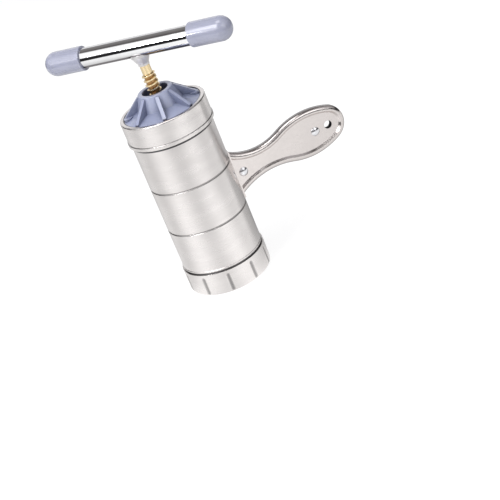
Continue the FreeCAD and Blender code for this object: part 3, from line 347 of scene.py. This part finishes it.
def give_materials():
    """One procedural material per finish, given to the CAD nodes that have it."""
    # Painted shade lines: beneath the head ring, above the foot ring, in the two rolled grooves and above the head
    # ring's bead.
    barrel_seams = [
        (HEAD_RING_FOOT - 1.2 * MM, 1.2, 0.92), (FOOT_RING_TOP + 0.65 * MM, 0.85, 0.9),
        (GROOVE_LOW - 0.3 * MM, 0.9, 0.5), (GROOVE_HIGH - 0.3 * MM, 0.9, 0.5),
    ]
    bead_seam = [(HEAD_BEAD_TOP + 0.1 * MM, 0.35, 0.55)]
    steel = turned_steel("steel_satin", (0.88, 0.845, 0.83), 0.23, 0.34, barrel_seams)
    ring = turned_steel("steel_ring", (0.89, 0.855, 0.84), 0.20, 0.30, bead_seam)
    fluted = turned_steel("steel_fluted", (0.88, 0.845, 0.83), 0.20, 0.30, flutes=True)
    stamped = pressed_steel("steel_stamped", (0.78, 0.73, 0.71), 0.17, 0.27, mount("hang_hole"))
    plated = pressed_steel("steel_plated", (0.66, 0.66, 0.67), 0.26, 0.38)
    polished = pressed_steel("steel_polished", (0.93, 0.93, 0.96), 0.22, 0.30)
    collar = pressed_steel("collar_plated", (0.95, 0.93, 0.935), 0.38, 0.46)
    chrome = bright_chrome("chrome_bright")
    brass = grease_and_shade_brass("brass_grease_and_shade")
    # The second colour of each plastic is its painted shade colour for recesses.
    plastic = moulded_plastic("plastic_cover", (0.40, 0.435, 0.60), (0.04, 0.055, 0.13), 0.28, 0.6, 0.10,
                              rim=LIP_BORE)
    grip = moulded_plastic("plastic_grip", (0.42, 0.435, 0.555), (0.27, 0.29, 0.40), 0.28, 0.9, 0.04, 1800.0)
    rubber = seal_rubber("rubber_seal")
    finishes = {
        "barrel_tube": steel, "die_plate": steel, "handle_bracket": stamped,
        "head_ring": ring, "foot_ring": fluted,
        "handle_shell_front": stamped, "handle_shell_rear": stamped,
        "handle_tip_rivet": polished, "handle_root_rivet": polished,
        "thrust_washer": plated, "end_washer": plated, "piston_screw": plated,
        "nut_screws": plated, "crank_cross_nut": plated,
        "crank_tube": chrome, "saddle_collar": collar,
        "lead_screw": brass, "lead_nut": brass,
        "cover": plastic, "piston_plate": plastic,
        "crank_cap_left": grip, "crank_cap_right": grip,
        "piston_seal": rubber,
    }
    for node, material in finishes.items():
        slots = frame["nodes"][node].data.materials
        slots.clear()
        slots.append(material)


# Studio


def azimuth_of(graph, across, depth):
    """The direction round the vertical in radians, 0 in front and positive to the right."""
    return graph.math("ARCTAN2", across, graph.math("MULTIPLY", depth, -1.0))


def make_world():
    """White for the camera; reflections see a bright panel at the left in a room with a dark ceiling."""
    world = bpy.data.worlds.new("studio")
    world.use_nodes = True
    SCENE.world = world
    graph = Graph(world.node_tree)
    direction = graph.add("TexCoord").outputs["Generated"]
    across, depth, height = graph.add("SeparateXYZ", {"Vector": direction}).outputs
    rise = graph.math("ARCSINE", height)
    turn = azimuth_of(graph, across, depth)
    side = graph.math("ABSOLUTE", turn)
    from_panel = graph.math("ABSOLUTE", graph.math("ADD", turn, math.radians(68)))
    lifted = graph.spread(rise, 0.0, 1.0, math.radians(15), math.radians(19))
    topped = graph.spread(rise, 1.0, 0.0, math.radians(54), math.radians(58))
    facing = graph.spread(from_panel, 1.0, 0.0, math.radians(36), math.radians(46))
    panel = graph.math("MULTIPLY", graph.math("MULTIPLY", lifted, topped), facing)
    front = graph.spread(side, 1.0, 0.0, math.radians(95), math.radians(125))
    behind = graph.spread(side, 0.0, 1.0, math.radians(140), math.radians(155))
    low = graph.spread(rise, 1.0, 0.0, math.radians(30), math.radians(36))
    ceiling = graph.mix(graph.spread(side, 0.0, 1.0, math.radians(100), math.radians(170)),
                        colour(0.09, 0.082, 0.08), colour(0.26, 0.25, 0.25))
    ceiling = graph.mix(graph.math("MULTIPLY", front, topped), ceiling, colour(0.46, 0.45, 0.46))
    room = graph.mix(lifted, colour(0.02, 0.02, 0.022), ceiling)
    room = graph.mix(graph.math("MULTIPLY", behind, low), room, colour(0.85, 0.85, 0.86))
    studio = graph.mix(panel, room, colour(1.15, 1.15, 1.15))
    path = graph.add("LightPath")
    seen = graph.mix(path.outputs["Is Glossy Ray"], colour(0.37, 0.37, 0.38), studio)
    seen = graph.mix(path.outputs["Is Camera Ray"], seen, colour(1, 1, 1))
    background = graph.add("Background", {"Color": seen, "Strength": 1.0})
    graph.add("OutputWorld", {"Surface": background.outputs[0]})


def make_floor():
    """A pale floor, white to the camera; reflections see soft bands, shade by the handle and a dark edge."""
    half = 3.0
    corners = [(-half, -half, 0), (half, -half, 0), (half, half, 0), (-half, half, 0)]
    mesh = bpy.data.meshes.new("floor")
    mesh.from_pydata(corners, [], [(0, 1, 2, 3)])
    floor = bpy.data.objects.new("floor", mesh)
    floor.location.z = -0.05 * MM
    SCENE.collection.objects.link(floor)
    material, graph = new_material("floor_pale")
    hole_x, hole_y = mount("hang_hole")["pos_m"][:2]
    handle_x = hole_x / math.hypot(hole_x, hole_y)
    handle_y = hole_y / math.hypot(hole_x, hole_y)
    place = graph.position()
    reach = graph.round_axis(place)[0]
    across, depth, _ = graph.add("SeparateXYZ", {"Vector": place}).outputs
    turn = azimuth_of(graph, across, depth)
    swing = graph.math("COSINE", graph.math("MULTIPLY", graph.math("ADD", turn, math.radians(52)), 4.4))
    lit = graph.math("MULTIPLY_ADD", swing, 0.13, 1.0)
    side = graph.math("ABSOLUTE", turn)
    lit = graph.math("MULTIPLY", lit, graph.spread(side, 1.0, 0.65, math.radians(75), math.radians(150)))
    lit = graph.math("MULTIPLY", lit, graph.spread(reach, 1.0, 0.02, 0.95, 1.05))
    along = graph.math("ADD", graph.math("MULTIPLY", across, handle_x),
                       graph.math("MULTIPLY", depth, handle_y))
    behind = graph.math("SUBTRACT", graph.math("MULTIPLY", depth, handle_x),
                        graph.math("MULTIPLY", across, handle_y))
    painted_under_shade = graph.math("MULTIPLY", graph.spread(along, 0.0, 0.45, 0.03, 0.06),
                       graph.spread(behind, 0.0, 1.0, -0.04, 0.0))
    painted_under_shade = graph.math("MULTIPLY", painted_under_shade, graph.spread(behind, 1.0, 0.0, 0.12, 0.22))
    lit = graph.math("MULTIPLY", lit, graph.math("SUBTRACT", 1.0, painted_under_shade))
    path = graph.add("LightPath")
    seen = path.outputs["Is Camera Ray"]
    pale = graph.mix(seen, colour(0.86, 0.86, 0.86), colour(0.36, 0.36, 0.36))
    matt = graph.add("BsdfDiffuse", {"Color": pale})
    glow = graph.math("MULTIPLY", seen, 0.80)
    white = graph.add("Emission", {"Color": colour(1, 1, 1), "Strength": glow})
    mirrored = graph.add("Emission", {"Color": colour(1, 1, 1), "Strength": lit})
    table = graph.add("AddShader", {0: matt.outputs[0], 1: white.outputs[0]})
    mixed = graph.add("MixShader", {
        0: path.outputs["Is Glossy Ray"], 1: table.outputs[0], 2: mirrored.outputs[0],
    })
    graph.add("OutputMaterial", {"Surface": mixed.outputs[0]})
    mesh.materials.append(material)


def make_lamp(name, azimuth, elevation, distance, size, power):
    """A rectangular lamp that looks at the middle of the barrel; azimuth 0 is in front."""
    turn = math.radians(azimuth)
    rise = math.radians(elevation)
    aim = Vector((0, 0, 0.1))
    away = Vector((math.sin(turn) * math.cos(rise), -math.cos(turn) * math.cos(rise), math.sin(rise)))
    data = bpy.data.lights.new(name, "AREA")
    data.shape = "RECTANGLE"
    data.size, data.size_y = size
    data.energy = power
    lamp = bpy.data.objects.new(name, data)
    turned = away.to_track_quat("Z", "Y").to_matrix().to_4x4()
    lamp.matrix_world = Matrix.Translation(aim + away * distance) @ turned
    SCENE.collection.objects.link(lamp)


def make_studio():
    SCENE.view_settings.view_transform = "Standard"
    make_world()
    make_floor()
    make_lamp("key", -60, 27, 1.4, (0.12, 0.12), 2.4)
    make_lamp("soft_left", -50, 50, 1.5, (0.7, 0.7), 9.0)
    make_lamp("fill", 40, 30, 1.6, (0.9, 0.9), 3.0)
    make_lamp("top", 0, 82, 1.5, (0.7, 0.7), 5.0)


make_camera()
give_materials()
make_studio()
